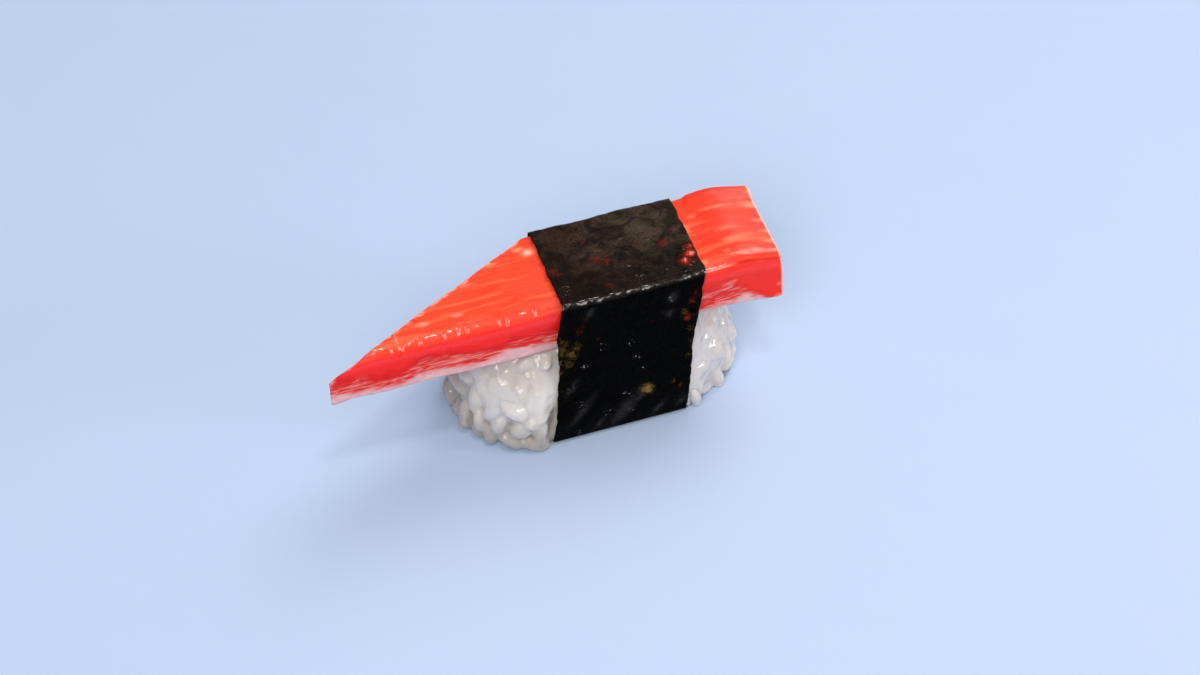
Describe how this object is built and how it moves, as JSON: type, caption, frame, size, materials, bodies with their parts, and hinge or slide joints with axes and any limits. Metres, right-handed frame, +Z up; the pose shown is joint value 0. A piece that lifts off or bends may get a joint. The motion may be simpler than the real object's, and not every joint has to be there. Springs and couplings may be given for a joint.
{
  "type": "nigiri sushi",
  "caption": "Nigiri sushi: a pressed rice pad under a red and white surimi stick with a bias-cut end, wrapped across by a strip of nori.",
  "frame": {"origin": "centre of the whole piece's footprint, in the plane the rice rests on", "axes": "+X along the stick, away from its pointed bias-cut end; +Z up; -Y is the near side of the picture"},
  "size_m": [0.09, 0.0334, 0.0323],
  "materials": {
    "rice": "moist, slightly translucent cooked white rice",
    "surimi": "moist red-orange skin with pale strands over white flesh",
    "nori": "thin dark seaweed sheet, mottled and partly glossy where it is damp"
  },
  "bodies": {
    "root": {"rice_pad": "rice", "surimi_stick": "surimi", "nori_band": "nori"}
  },
  "joints": []
}
